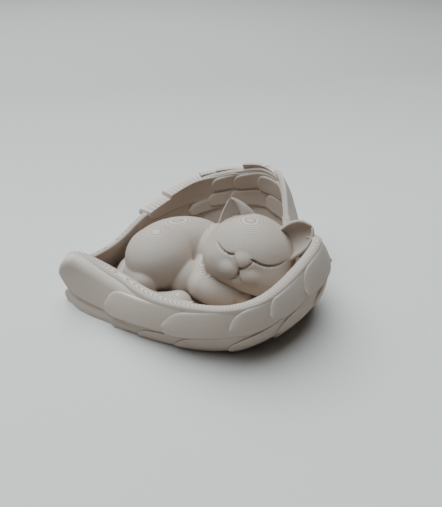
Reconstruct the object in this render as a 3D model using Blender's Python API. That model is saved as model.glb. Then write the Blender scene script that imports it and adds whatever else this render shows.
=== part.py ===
"""A sleeping kitten curled up in a nest of two folded wings, printed as one solid piece.

Metres, +Z up. The nest is longest along X: the two wing tips meet at -X and the two wing roots
at +X. The near wing lies on the -Y side and the far wing on the +Y side. The flat underside is
on z = 0, and the origin is under the middle of the object's box.
"""
import math

import bmesh
import bpy
import numpy as np
from mathutils import Matrix, Vector
from mathutils.geometry import tessellate_polygon

for old in list(bpy.data.objects):
    bpy.data.objects.remove(old, do_unlink=True)

# Driving sizes, in metres
NEST_LENGTH = 0.0800        # wing tips to wing roots, along X
NEST_WIDTH = 0.0720         # across both wings, without the feathers
RIM_HEIGHT = 0.0300         # nest rim at the wing roots
WING_WALL = 0.0028          # wing without its feathers
FLOOR = 0.0030              # plate under the kitten
FEATHER_PROUD = 0.0022      # feather tips stand off the wing's outer face
FEATHER_TILT = 0.30         # a near upper feather's lower edge stands off more, its upper edge less
UPPER_FADE = 0.65           # share of its stand-off that a near upper feather loses along its length
PLAIN_FADE = 0.88           # the same share for every other feather
LOWER_SHARE = 0.52          # lower feathers stand off by this share of the upper ones
SCALLOP_PROUD = 0.0014      # feather tips on the wing's inner face
KITTEN_LENGTH = 0.0560      # rump to the far ear, along X
THROUGH_PROUD = 0.0008      # the far wing's first blades stand off its inner face by this
EAR_WALL = 0.0012           # shell of an ear at its base
EYE_LINE = 0.0010           # width of the closed eyes' grooves
EYE_DEPTH = 0.0006          # depth of the same grooves

# Fineness of the finished skin
VOXEL = 0.0005
SMOOTHING_ROUNDS = 2
TRIANGLES = 9600
BASE_OVERRUN = 0.0030       # how far every piece runs on below z = 0 before the base is cut flat

# The nest's points are in 80ths of its length, 72nds of its width and 30ths of its rim height
NEST_UNIT = np.array([NEST_LENGTH / 80, NEST_WIDTH / 72, RIM_HEIGHT / 30])

# One wing from tip (0) to root (1): outer rim x, y, z; foot x, y; bulge; wall in WING_WALLs
WING_STATIONS = np.array([
    [-49.0, -0.6, 18.3, -50.6, -1.6, 0.0, 0.90],
    [-42.4, 2.9, 16.4, -46.0, 5.2, 0.3, 0.80],
    [-34.4, 9.8, 14.7, -38.4, 12.0, 0.5, 0.72],
    [-25.0, 20.9, 15.6, -27.6, 19.8, 1.0, 0.80],
    [-14.6, 29.0, 17.6, -16.2, 26.6, 1.5, 0.90],
    [-4.8, 34.2, 19.9, -4.4, 30.5, 2.0, 1.00],
    [4.2, 34.6, 22.1, 4.7, 29.7, 2.5, 1.00],
    [13.4, 30.2, 25.2, 13.6, 26.0, 3.5, 1.00],
    [20.5, 22.0, 28.3, 21.7, 20.7, 4.0, 0.75],
    [21.8, 9.4, 29.4, 26.8, 9.4, 3.4, 0.60],
    [20.8, -5.0, 21.4, 27.2, -5.0, 3.0, 0.60],
])
# The near wing's last three stations, which spread and dip beside the kitten's far ear
NEAR_ROOT_STATIONS = np.array([
    [22.4, 22.4, 28.2, 22.0, 20.7, 3.6, 1.00],
    [22.8, 13.6, 24.6, 26.2, 13.2, 3.4, 1.00],
    [20.8, 5.0, 21.4, 27.2, 5.0, 3.0, 1.00],
])
# The near wing's wall in WING_WALLs, thick at the tip and thin where the rim passes the paws
NEAR_WALLS = np.array([1.25, 1.25, 1.20, 0.95, 0.60, 0.55, 0.62, 0.65, 0.62, 0.62, 0.62])

# Feathers on a wing: tip along, tip height, end along, end height, half height, top limit at the tip
NEAR_UPPER_FEATHERS = [
    (-0.03, 0.66, 0.40, 0.64, 0.36, 1.00),
    (0.20, 0.58, 0.50, 0.86, 0.29, 1.00),
    (0.35, 0.65, 0.62, 0.90, 0.25, 1.00),
    (0.50, 0.77, 0.74, 0.92, 0.20, 1.00),
    (0.60, 0.85, 0.85, 0.92, 0.18, 1.00),
    (0.70, 0.84, 0.95, 0.90, 0.18, 1.00),
    (0.83, 0.72, 1.08, 0.88, 0.20, 1.00),
]
# The first two stand through the whole wall
FAR_THROUGH = 2
FAR_UPPER_FEATHERS = [
    (0.315, 1.03, 0.62, 0.80, 0.30, 1.08),
    (0.395, 1.08, 0.70, 0.84, 0.28, 1.13),
    (0.545, 1.04, 0.80, 0.86, 0.24, 1.08),
    (0.615, 1.03, 0.88, 0.86, 0.22, 1.07),
    (0.72, 1.07, 0.98, 0.88, 0.20, 1.10),
    (0.87, 1.08, 1.10, 0.90, 0.22, 1.11),
]
LOWER_FEATHERS = [
    (-0.01, 0.12, 0.34, 0.12, 0.20, 1.00),
    (0.22, 0.13, 0.46, 0.36, 0.20, 1.00),
    (0.29, 0.05, 0.55, 0.42, 0.22, 1.00),
    (0.38, 0.10, 0.66, 0.52, 0.24, 1.00),
    (0.50, 0.16, 0.78, 0.56, 0.24, 1.00),
    (0.63, 0.38, 0.86, 0.56, 0.20, 1.00),
    (0.64, 0.12, 0.92, 0.30, 0.20, 1.00),
    (0.75, 0.42, 0.98, 0.54, 0.20, 1.00),
    (0.80, 0.14, 1.08, 0.30, 0.20, 1.00),
    (0.90, 0.44, 1.10, 0.54, 0.20, 1.00),
]
INNER_SCALLOPS = [
    (0.48, 0.46, 0.66, 0.52, 0.13, 1.00),
    (0.57, 0.565, 0.76, 0.58, 0.135, 1.00),
    (0.66, 0.56, 0.86, 0.56, 0.14, 1.00),
    (0.80, 0.54, 1.02, 0.55, 0.14, 1.00),
    (0.59, 0.83, 0.78, 0.86, 0.14, 0.97),
    (0.68, 0.82, 0.88, 0.84, 0.14, 0.97),
    (0.77, 0.78, 0.98, 0.82, 0.145, 0.97),
    (0.86, 0.84, 1.08, 0.84, 0.17, 1.00),
]
FAR_TIP_DROP = 3.0          # the far wing's tip is lower and tucked behind the near one
FAR_TIP_START = 0.05        # where along the wing the far tip begins

# The kitten's points are in 56ths of its length, measured from the nest's origin on the floor
KITTEN_UNIT = KITTEN_LENGTH / 56
HEAD_CENTRE = (7.4, -9.3, 14.0)
HEAD_RADII = (13.7, 12.1, 12.3)
HEAD_FACING = (-0.398, -0.809, 0.432)
HEAD_UP = (0.396, 0.274, 0.877)

# On the head, in the same units to the viewer's right, up and forward of its centre
CHEEK_PLACE = np.array((5.4, -3.2, 2.2))
CHEEK_RADII = (8.4, 7.6, 8.8)
MUZZLE = [
    ((-3.0, -4.0, 9.3), (3.5, 2.9, 3.1)),
    ((2.6, -3.9, 9.4), (3.7, 2.9, 3.1)),
    ((-0.6, -0.2, 10.7), (2.9, 2.5, 2.1)),
    ((-0.3, -6.7, 8.8), (2.4, 1.8, 2.1)),
]
EARS = [
    {"inner": (-5.2, 10.2, 2.4), "outer": (-11.9, 3.6, 2.6), "tip": (-11.2, 14.3, 3.2),
     "facing": (-0.75, -0.10, 0.65), "bulge": 1.9, "cup": 0.5, "full": 1.5, "round": 0.75},
    {"inner": (5.4, 10.9, 2.5), "outer": (13.4, 4.9, 2.5), "tip": (14.0, 15.4, 5.0),
     "facing": (-0.25, 0.0, 0.97), "bulge": 0.8, "cup": 0.55, "full": 3.0, "round": 0.62},
]

# The body: ellipsoids as centre and radii, limbs as stations of x, y, z and radius
BODY = [
    ((-12.8, 7.5, 6.5), (17.0, 9.2, 11.5)),
    ((-20.4, 0.3, 9.0), (10.7, 10.7, 10.7)),
    ((-19.0, 6.0, 6.8), (9.6, 8.6, 8.6)),
    ((1.5, 2.0, 7.8), (10.5, 9.5, 9.0)),
    ((3.0, -7.5, 4.5), (8.0, 8.0, 7.0)),
]
UPPER_ARM = [(-5.9, -3.0, 7.2, 3.7), (-7.2, -6.4, 5.8, 4.2), (-8.2, -9.4, 4.2, 4.6)]
FOREARM = [(-8.2, -9.4, 4.2, 4.6), (-5.0, -10.6, 3.6, 4.9), (-1.6, -12.0, 3.0, 4.8), (1.6, -13.3, 2.5, 4.2),
           (3.3, -14.2, 2.2, 3.1)]
TUCKED_LEG = [(8.8, -20.2, 2.6, 3.6), (14.0, -17.0, 3.2, 4.6), (17.0, -11.0, 4.4, 5.0)]
HIND_PAW = [(-28.1, -5.6, 6.3, 3.9), (-26.6, -8.0, 6.0, 3.8), (-24.4, -10.2, 5.5, 3.4)]
TAIL = [(-23.0, 10.0, 3.6, 3.8), (-30.4, 4.0, 3.4, 3.6), (-30.8, -4.4, 3.0, 3.4), (-26.0, -11.5, 2.6, 3.3),
        (-20.5, -14.6, 2.9, 3.6), (-15.9, -15.2, 3.0, 4.1)]


def spline(table, at):
    """Smooth curve through evenly spaced rows of a table, at positions counted in rows."""
    slope = np.gradient(table, axis=0)
    row = np.clip(np.floor(at).astype(int), 0, len(table) - 2)
    u = (at - row)[:, None]
    start, end = table[row], table[row + 1]
    return ((2 * u**3 - 3 * u**2 + 1) * start + (u**3 - 2 * u**2 + u) * slope[row]
            + (3 * u**2 - 2 * u**3) * end + (u**3 - u**2) * slope[row + 1])


def wing_table(side):
    """The wing's stations in metres, run on past the root by two mirrored rows."""
    table = WING_STATIONS.copy()
    if side > 0:
        along = np.linspace(0, 1, len(table))
        table[:, 2] -= FAR_TIP_DROP * np.clip(1 - along / 0.25, 0, 1)
    else:
        table[-3:] = NEAR_ROOT_STATIONS
        table[:, 6] = NEAR_WALLS
    beyond = table[-2:-4:-1].copy()
    beyond[:, [1, 4]] = 2 * table[-1, [1, 4]] - beyond[:, [1, 4]]
    table = np.vstack([table, beyond])
    x, y, z = NEST_UNIT
    return table * np.array([x, y, z, x, y, x, WING_WALL])


def wing_surface(side, along, up, proud):
    """Points of a wing: along from tip 0 to root 1, up from foot 0 to rim 1, proud outward.

    A proud of -1 is the inner face, which lies one wall inside; larger values are metres.
    """
    table = wing_table(side)
    along, up, proud = (np.ravel(v) for v in np.broadcast_arrays(along, up, proud))
    rows = len(WING_STATIONS) - 1
    here = spline(table, along * rows)
    step = spline(table, along * rows + 0.01)[:, :2] - spline(table, along * rows - 0.01)[:, :2]
    out = np.stack([-step[:, 1], step[:, 0]], axis=1)
    out /= np.linalg.norm(out, axis=1, keepdims=True)
    rim, foot, bulge, wall = here[:, :2], here[:, 3:5], here[:, 5], here[:, 6]
    offset = 4 * bulge * up * (1 - up) + np.where(proud <= -1, -wall, proud)
    flat = foot + (rim - foot) * up[:, None] + out * offset[:, None]
    return np.stack([flat[:, 0], side * flat[:, 1], here[:, 2] * up], axis=1)


def add_rings(mesh, rings):
    """A closed body through rings of equally many points, with both ends capped."""
    loops = [[mesh.verts.new(Vector(p)) for p in ring] for ring in rings]
    count = len(loops[0])
    for lower, upper in zip(loops, loops[1:]):
        for i in range(count):
            j = (i + 1) % count
            mesh.faces.new((lower[i], lower[j], upper[j], upper[i]))
    for loop in (loops[0], loops[-1]):
        middle = mesh.verts.new(sum((v.co for v in loop), Vector()) / count)
        for i in range(count):
            mesh.faces.new((loop[i], loop[(i + 1) % count], middle))


def add_wing_wall(mesh, side):
    """The wing's bare wall, with a rounded rim and a rounded tip."""
    start = 0.0 if side < 0 else FAR_TIP_START
    faces_up = np.linspace(0, 1, 9)
    rim_turn = np.linspace(0, math.pi, 6)[1:-1]
    rings = []
    for along in np.linspace(start, 1.03, 64):
        tip = min(1.0, (along - start + 0.004) / 0.05)
        height = 0.66 + 0.34 * math.sqrt(1 - (1 - tip) ** 2)
        outer = wing_surface(side, along, faces_up * height, 0.0)
        inner = wing_surface(side, along, faces_up * height, -1)
        wall = np.linalg.norm(outer[-1] - inner[-1])
        middle = (outer[-1] + inner[-1]) / 2
        lift = np.array([0, 0, 0.35 * wall])
        crown = [middle + (outer[-1] - middle) * math.cos(a) + lift * math.sin(a) for a in rim_turn]
        below = np.array([0, 0, -BASE_OVERRUN])
        rings.append([outer[0] + below, *outer, *crown, *inner[::-1], inner[0] + below])
    add_rings(mesh, rings)


def add_feather(mesh, side, shape, proud, fade=PLAIN_FADE, tilt=0.0, inner=False, through=False):
    """A leaf-shaped plate on a wing's face with a rounded tip, thinning out towards its end."""
    tip_along, tip_up, end_along, end_up, half, top = shape
    across = np.linspace(-1, 1, 9)
    rings = []
    for u in np.linspace(0, 1, 14) ** 1.4:
        along = tip_along + (end_along - tip_along) * u
        rounding = math.sqrt(1 - (1 - min(1.0, (u + 0.004) / 0.26)) ** 2)
        up = tip_up + (end_up - tip_up) * u + half * rounding * across
        up = np.minimum(up, 1 + (top - 1) * max(0.0, 1 - u / 0.75))
        rise = proud * (1 - fade * u) * (1 - 0.2 * across**4) * (1 - tilt * across)
        wall = spline(wing_table(side), np.array([along * (len(WING_STATIONS) - 1)]))[0, 6]
        if inner:
            front = wing_surface(side, along, up, np.clip(-wall - rise, -0.9, 0))
            back = wing_surface(side, along, up, np.full(len(up), -wall * 0.5))
        else:
            front = wing_surface(side, along, up, rise)
            depth = wall + THROUGH_PROUD if through else wall * 0.5
            back = wing_surface(side, along, up, np.full(len(up), -depth))
        rings.append([*front, *back[::-1]])
    add_rings(mesh, rings)


def add_floor(mesh):
    """The nest's flat floor, inside the feet of both wings."""
    along = np.linspace(0.02, 1, 40)
    near = wing_surface(-1, along, 0.0, -WING_WALL * 0.5)
    far = wing_surface(1, along, 0.0, -WING_WALL * 0.5)
    outline = np.vstack([near, far[-2::-1]])
    levels = (-BASE_OVERRUN, FLOOR)
    loops = [[mesh.verts.new(Vector((p[0], p[1], z))) for p in outline] for z in levels]
    count = len(outline)
    for i in range(count):
        j = (i + 1) % count
        mesh.faces.new((loops[0][i], loops[0][j], loops[1][j], loops[1][i]))
    triangles = tessellate_polygon([[Vector((p[0], p[1], 0)) for p in outline]])
    for loop in loops:
        for triangle in triangles:
            mesh.faces.new([loop[i] for i in triangle])


def kitten_point(point):
    """A point of the kitten in metres, from its own units above the floor."""
    return Vector(point) * KITTEN_UNIT + Vector((0, 0, FLOOR))


def add_ball(mesh, centre, radii, axes=Matrix.Identity(3)):
    """An ellipsoid of the kitten with the given centre, radii and axes."""
    place = Matrix.Translation(kitten_point(centre)) @ axes.to_4x4()
    size = Matrix.Diagonal((*(r * KITTEN_UNIT for r in radii), 1))
    bmesh.ops.create_icosphere(mesh, subdivisions=4, radius=1.0, matrix=place @ size)


def add_limb(mesh, stations):
    """A rounded limb through stations of x, y, z and radius, with round ends."""
    table = np.array(stations, float)
    at = np.linspace(0, len(table) - 1, 40)
    path = spline(table, at)
    for x, y, z, radius in path:
        add_ball(mesh, (x, y, z), (radius, radius, radius))


def head_axes():
    """The head's axes as columns: to the viewer's right, up and forward."""
    forward = Vector(HEAD_FACING).normalized()
    up = Vector(HEAD_UP)
    up = (up - forward * up.dot(forward)).normalized()
    right = up.cross(forward)
    return Matrix((right, up, forward)).transposed()


def on_head(axes, right, up, forward):
    """A point given in the head's own axes, in the kitten's units."""
    return Vector(HEAD_CENTRE) + axes @ Vector((right, up, forward))


def face_forward(right, up):
    """How far forward the head's ellipsoid lies at a place on the face."""
    rest = 1 - (right / HEAD_RADII[0]) ** 2 - (up / HEAD_RADII[1]) ** 2
    return HEAD_RADII[2] * math.sqrt(max(rest, 0.0))


def add_ear(mesh, axes, ear):
    """A cupped ear: crescents that narrow from the base to a rounded tip, open towards its facing."""
    inner_base, outer_base, tip, front = (np.array(ear[name]) for name in ("inner", "outer", "tip", "facing"))
    front = front / np.linalg.norm(front)
    middle = (inner_base + outer_base) / 2
    half = (outer_base - inner_base) / 2
    shell = EAR_WALL / KITTEN_UNIT
    turn = np.linspace(0, math.pi, 13)
    rings = []
    for h in (-0.2, -0.1, *np.sin(np.linspace(0, math.pi / 2, 16))):
        width = (1 - max(h, 0.0) ** ear["full"]) ** ear["round"] * 0.985 + 0.015 - 0.12 * min(h, 0.0)
        centre = middle + (tip - middle) * h
        reach = np.linalg.norm(half) * width
        wall = min(shell * (1 - 0.2 * h), reach * 0.75)
        depth = min(ear["cup"] * reach, max(ear["bulge"] * reach - wall, 0.0))
        inside = 1 - 0.9 * wall / reach
        back = [centre + half * width * math.cos(a) - front * ear["bulge"] * reach * math.sin(a) for a in turn]
        face = [centre + half * width * inside * math.cos(a)
                + front * (0.35 * wall * math.cos(a) ** 6 - depth * math.sin(a) ** 1.3) for a in turn[::-1]]
        rings.append([kitten_point(on_head(axes, *p)) for p in (*back, *face)])
    add_rings(mesh, rings)


def add_head(mesh, axes):
    """Head, cheeks, muzzle, nose, chin and both ears."""
    add_ball(mesh, HEAD_CENTRE, HEAD_RADII, axes)
    for side in (-1, 1):
        add_ball(mesh, on_head(axes, *CHEEK_PLACE * (side, 1, 1)), CHEEK_RADII, axes)
    for centre, radii in MUZZLE:
        add_ball(mesh, on_head(axes, *centre), radii, axes)
    for ear in EARS:
        add_ear(mesh, axes, ear)


def add_body(mesh):
    """Curled trunk, haunch, chest, legs and the tail wrapped round the front."""
    for centre, radii in BODY:
        add_ball(mesh, centre, radii)
    for limb in (UPPER_ARM, FOREARM, TUCKED_LEG, HIND_PAW, TAIL):
        add_limb(mesh, limb)


def eye_groove(side, axes):
    """A curved round bar that cuts one closed eye, drooping in the middle."""
    rings = []
    turn = np.linspace(0, 2 * math.pi, 8, endpoint=False)
    for u in np.linspace(-1, 1, 13):
        right = side * (6.4 + 3.5 * u)
        up = 0.5 + 1.7 * max(u, 0.0) ** 2 + 0.55 * min(u, 0.0) ** 2
        surface = face_forward(right, up)
        centre = kitten_point(on_head(axes, right, up, surface))
        place = (right, up, surface)
        normal = axes @ Vector([value / radius**2 for value, radius in zip(place, HEAD_RADII)])
        normal.normalize()
        radius = EYE_LINE / 2 * (0.45 + 0.55 * math.sqrt(1 - u * u))
        centre += normal * (radius - EYE_DEPTH)
        vertical = (axes @ Vector((0, 1, 0))).cross(normal).cross(normal).normalized()
        wide, deep = vertical * radius, normal * radius * 1.6
        rings.append([centre + wide * math.cos(a) + deep * math.sin(a) for a in turn])
    groove = bmesh.new()
    add_rings(groove, rings)
    bmesh.ops.recalc_face_normals(groove, faces=groove.faces)
    return to_object(groove, "eye_groove")


def to_object(mesh, name):
    """Turn a bmesh into a scene object."""
    data = bpy.data.meshes.new(name)
    mesh.to_mesh(data)
    mesh.free()
    thing = bpy.data.objects.new(name, data)
    bpy.context.scene.collection.objects.link(thing)
    return thing


def evaluated_mesh(thing):
    """A plain mesh of an object as its modifiers leave it."""
    graph = bpy.context.evaluated_depsgraph_get()
    return bpy.data.meshes.new_from_object(thing.evaluated_get(graph))


def cut_flat_base(data):
    """Cut everything below z = 0 away, close the cut and centre the piece over the origin."""
    mesh = bmesh.new()
    mesh.from_mesh(data)
    geometry = list(mesh.verts) + list(mesh.edges) + list(mesh.faces)
    cut = bmesh.ops.bisect_plane(mesh, geom=geometry, plane_co=(0, 0, 0), plane_no=(0, 0, 1), clear_inner=True)
    edges = [part for part in cut["geom_cut"] if isinstance(part, bmesh.types.BMEdge)]
    bmesh.ops.contextual_create(mesh, geom=edges)
    bmesh.ops.triangulate(mesh, faces=mesh.faces)
    bmesh.ops.recalc_face_normals(mesh, faces=mesh.faces)
    low = np.min([v.co for v in mesh.verts], axis=0)
    high = np.max([v.co for v in mesh.verts], axis=0)
    bmesh.ops.translate(mesh, verts=mesh.verts, vec=(-(low[0] + high[0]) / 2, -(low[1] + high[1]) / 2, 0))
    mesh.to_mesh(data)
    mesh.free()


def plastic():
    """Matt warm off-white printed plastic."""
    material = bpy.data.materials.new("printed_plastic")
    material.use_nodes = True
    shader = material.node_tree.nodes["Principled BSDF"]
    shader.inputs["Base Color"].default_value = (0.56, 0.51, 0.47, 1)
    shader.inputs["Roughness"].default_value = 0.62
    shader.inputs["Metallic"].default_value = 0.0
    return material


def build_kitten_in_wings():
    """All forms joined into one skin, thinned to few triangles, with the eyes cut in."""
    mesh = bmesh.new()
    add_floor(mesh)
    for side, upper in ((-1, NEAR_UPPER_FEATHERS), (1, FAR_UPPER_FEATHERS)):
        add_wing_wall(mesh, side)
        for number, shape in enumerate(upper):
            near = side < 0 and number > 0
            add_feather(mesh, side, shape, FEATHER_PROUD, fade=UPPER_FADE if near else PLAIN_FADE,
                        tilt=FEATHER_TILT if near else 0.0, through=side > 0 and number < FAR_THROUGH)
        for shape in LOWER_FEATHERS:
            if side < 0 or shape[0] > FAR_TIP_START:
                add_feather(mesh, side, shape, FEATHER_PROUD * LOWER_SHARE)
        for shape in INNER_SCALLOPS:
            add_feather(mesh, side, shape, SCALLOP_PROUD, inner=True)
    axes = head_axes()
    add_head(mesh, axes)
    add_body(mesh)
    bmesh.ops.recalc_face_normals(mesh, faces=mesh.faces)
    rough = to_object(mesh, "forms")

    skin = rough.modifiers.new("one_skin", "REMESH")
    skin.mode = "VOXEL"
    skin.voxel_size = VOXEL
    soften = rough.modifiers.new("soften", "SMOOTH")
    soften.factor = 0.5
    soften.iterations = round(SMOOTHING_ROUNDS)
    dense = evaluated_mesh(rough)
    rough.modifiers.clear()
    rough.data = dense
    thin = rough.modifiers.new("thin_out", "DECIMATE")
    thin.ratio = TRIANGLES / sum(len(face.vertices) - 2 for face in dense.polygons)
    for side in (-1, 1):
        groove = eye_groove(side, axes)
        cut = rough.modifiers.new("closed_eye", "BOOLEAN")
        cut.operation = "DIFFERENCE"
        cut.object = groove
        groove.hide_render = True
        groove.display_type = "WIRE"
    finished = evaluated_mesh(rough)
    cut_flat_base(finished)
    finished.shade_smooth()
    finished.set_sharp_from_angle(angle=math.radians(45))
    finished.materials.clear()
    finished.materials.append(plastic())
    kitten = bpy.data.objects.new("sleeping_kitten", finished)
    bpy.context.scene.collection.objects.link(kitten)
    for scrap in list(bpy.data.objects):
        if scrap is not kitten:
            bpy.data.objects.remove(scrap, do_unlink=True)


build_kitten_in_wings()
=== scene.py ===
import math

import bpy
import numpy as np
from bpy.props import FloatProperty, FloatVectorProperty, PointerProperty
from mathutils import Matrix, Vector


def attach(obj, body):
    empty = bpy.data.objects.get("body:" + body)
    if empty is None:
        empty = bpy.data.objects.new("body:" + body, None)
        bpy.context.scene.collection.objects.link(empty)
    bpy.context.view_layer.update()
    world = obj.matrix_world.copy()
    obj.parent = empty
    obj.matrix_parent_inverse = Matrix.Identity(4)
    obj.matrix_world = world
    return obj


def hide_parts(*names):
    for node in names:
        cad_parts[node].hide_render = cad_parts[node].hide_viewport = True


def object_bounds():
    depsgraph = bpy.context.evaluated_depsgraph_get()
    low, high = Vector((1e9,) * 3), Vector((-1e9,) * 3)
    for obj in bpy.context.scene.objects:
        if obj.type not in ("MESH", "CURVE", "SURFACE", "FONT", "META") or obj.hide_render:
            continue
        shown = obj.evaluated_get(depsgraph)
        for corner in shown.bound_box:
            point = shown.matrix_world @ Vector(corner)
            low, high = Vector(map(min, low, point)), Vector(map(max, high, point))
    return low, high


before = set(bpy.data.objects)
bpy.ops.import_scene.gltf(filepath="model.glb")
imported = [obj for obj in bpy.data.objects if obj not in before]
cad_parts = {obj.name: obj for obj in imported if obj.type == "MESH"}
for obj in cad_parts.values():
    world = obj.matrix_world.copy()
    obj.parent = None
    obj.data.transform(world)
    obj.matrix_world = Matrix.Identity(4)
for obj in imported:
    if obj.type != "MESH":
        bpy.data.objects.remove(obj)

bl_info = {
    "name": "Sleeping Kitten in Folded Wings",
    "version": (1, 0, 0),
    "blender": (4, 5, 0),
    "location": "3D View > Sidebar > Kitten",
    "description": "Builds a small print of a kitten asleep between two folded wings, on a pale floor",
    "category": "Add Mesh",
}

NODE = "sleeping_kitten"
CAD_LOW, CAD_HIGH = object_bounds()
# Heights and places are in millimetres: the nest's floor above the underside, and the nest's
# lowest x and y in its own place, which SHIFT carries to where the body lies
FLOOR_TOP = 3.0
NEST_LOW = (-52.48, -37.70)
SHIFT = np.array((CAD_LOW.x * 1000 - NEST_LOW[0], CAD_LOW.y * 1000 - NEST_LOW[1], 0.0))

# One wing from tip to root, in millimetres: rim x, y, z; foot x, y; bulge; wall in wing walls
WING_STATIONS = np.array([
    [-49.0, -0.6, 18.3, -50.6, -1.6, 0.0, 0.90],
    [-42.4, 2.9, 16.4, -46.0, 5.2, 0.3, 0.80],
    [-34.4, 9.8, 14.7, -38.4, 12.0, 0.5, 0.72],
    [-25.0, 20.9, 15.6, -27.6, 19.8, 1.0, 0.80],
    [-14.6, 29.0, 17.6, -16.2, 26.6, 1.5, 0.90],
    [-4.8, 34.2, 19.9, -4.4, 30.5, 2.0, 1.00],
    [4.2, 34.6, 22.1, 4.7, 29.7, 2.5, 1.00],
    [13.4, 30.2, 25.2, 13.6, 26.0, 3.5, 1.00],
    [21.3, 22.7, 28.3, 21.7, 20.7, 3.4, 0.75],
    [23.6, 9.4, 28.8, 26.8, 9.4, 2.6, 0.50],
    [21.2, -5.0, 21.4, 27.2, -5.0, 2.8, 0.60],
])
NEAR_ROOT_STATIONS = np.array([
    [22.4, 22.4, 28.2, 22.0, 20.7, 3.6, 1.00],
    [22.8, 13.6, 24.6, 26.2, 13.2, 3.4, 1.00],
    [20.8, 5.0, 21.4, 27.2, 5.0, 3.0, 1.00],
])
# The near wing's wall in wing walls, thick at the tip and thin where the rim runs before the paws
NEAR_WALLS = np.array([1.22, 1.22, 1.20, 0.90, 0.50, 0.47, 0.62, 0.65, 0.60, 0.60, 0.60])
# The far wing's tip lies lower, and both walls begin a little way in
FAR_TIP_DROP = 3.0
FAR_TIP_REACH = 0.25
NEAR_WALL_START = 0.03
FAR_TIP_START = 0.05
WALL_END = 1.03
# A wall's tip: its least height as a share of the rim's, and its length along the wing
TIP_HEIGHT = 0.66
TIP_LENGTH = 0.05
CROWN_LIFT = 0.6            # a crown's rise as a share of half its width
# Where the near rim's flare begins and over what share it grows, along the wing and upwards
FLARE_ALONG = (0.22, 0.10)
FLARE_UP = (0.84, 0.10)
NEST_MIDDLE = np.array((-4.0, 0.0, 0.0))

# Feathers: tip along, tip height, end along, end height, half height, top edge at the tip
NEAR_TIP_BLADE = (-0.012, 0.68, 0.40, 0.66, 0.39, 1.08)
BLADE_EDGE, BLADE_TOP_EDGE, BLADE_BACK_EDGE = 0.5, 2.0, 1.8
NEAR_UPPER_FEATHERS = [
    (0.20, 0.58, 0.50, 0.86, 0.29, 1.0),
    (0.35, 0.65, 0.62, 0.90, 0.25, 1.0),
    (0.50, 0.77, 0.74, 0.92, 0.20, 1.0),
    (0.60, 0.85, 0.85, 0.92, 0.18, 1.0),
    (0.70, 0.84, 0.95, 0.90, 0.18, 1.0),
    (0.83, 0.72, 1.08, 0.88, 0.20, 1.0),
]
# The first two of these stand through the wall, and the last stands off by a lesser share
THROUGH_FEATHERS = 2
CLOSE_FEATHER = 5
CLOSE_SHARE = 0.35
FAR_UPPER_FEATHERS = [
    (0.315, 1.03, 0.62, 0.80, 0.30, 1.08),
    (0.395, 1.08, 0.70, 0.84, 0.28, 1.13),
    (0.545, 1.04, 0.80, 0.86, 0.24, 1.08),
    (0.615, 1.03, 0.88, 0.86, 0.22, 1.07),
    (0.720, 1.07, 0.98, 0.88, 0.20, 1.10),
    (0.870, 1.08, 1.10, 0.90, 0.22, 1.11),
]
# These stand off both wings by a share of the upper feathers' stand-off
LOWER_SHARE = 0.70
LOWER_FEATHERS = [
    (-0.01, 0.12, 0.34, 0.12, 0.20, 1.0),
    (0.22, 0.13, 0.46, 0.36, 0.20, 1.0),
    (0.29, 0.05, 0.55, 0.42, 0.22, 1.0),
    (0.38, 0.10, 0.66, 0.52, 0.24, 1.0),
    (0.50, 0.16, 0.78, 0.56, 0.24, 1.0),
    (0.63, 0.38, 0.86, 0.56, 0.20, 1.0),
    (0.64, 0.12, 0.92, 0.30, 0.20, 1.0),
    (0.75, 0.42, 0.98, 0.54, 0.20, 1.0),
    (0.80, 0.14, 1.08, 0.30, 0.20, 1.0),
    (0.90, 0.44, 1.10, 0.54, 0.20, 1.0),
]
# The near wing's inner face has only the first few of these
NEAR_SCALLOPS = 3
SCALLOP_EDGE = 0.9
INNER_SCALLOPS = [
    (0.48, 0.46, 0.66, 0.52, 0.13, 1.0),
    (0.57, 0.565, 0.76, 0.58, 0.135, 1.0),
    (0.66, 0.56, 0.86, 0.56, 0.14, 1.0),
    (0.80, 0.54, 0.96, 0.55, 0.14, 1.0),
    (0.59, 0.83, 0.78, 0.86, 0.14, 0.97),
    (0.68, 0.82, 0.88, 0.84, 0.14, 0.97),
    (0.77, 0.78, 0.98, 0.82, 0.145, 0.97),
    (0.86, 0.84, 0.97, 0.84, 0.17, 1.0),
]

# The kitten, in millimetres from the nest's origin, heights above the floor
HEAD_CENTRE = np.array((7.4, -9.3, 14.0))
HEAD_FACING = (-0.398, -0.809, 0.432)
HEAD_UP = (0.396, 0.274, 0.877)

# On the head, to the viewer's right, up and forward of its centre: centres and radii
SKULL_FORMS = [
    ((0, 0, 0), (13.7, 12.1, 12.3)),
    ((-5.4, -3.2, 2.2), (8.4, 7.6, 8.8)),
    ((5.4, -3.2, 2.2), (8.4, 7.6, 8.8)),
]
MUZZLE_FORMS = [
    ((-3.1, -3.9, 9.0), (3.9, 3.2, 3.4)),
    ((2.7, -3.8, 9.1), (4.1, 3.2, 3.4)),
    ((-0.6, -0.3, 10.6), (2.9, 2.6, 2.2)),
    ((-0.3, -6.7, 8.8), (2.4, 1.8, 2.1)),
]
# How sharply those forms meet
SKULL_SHARPNESS = 1.6
FACE_SHARPNESS = 2.2
# Lines drawn into the face: rows of right, up and share of the depth
EYE_LINE_WIDTH = 0.32
EYE_LINES = [
    [(-9.5, 1.5, 0.2), (-8.4, 0.8, 1), (-6.7, 0.3, 1), (-5.0, 0.2, 1), (-3.7, 0.6, 0.8)],
    [(2.0, 1.2, 0.7), (3.6, 0.95, 1), (5.4, 0.8, 1), (7.4, 1.1, 1), (9.4, 2.1, 0.5), (10.8, 3.3, 0.1)],
]
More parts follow.
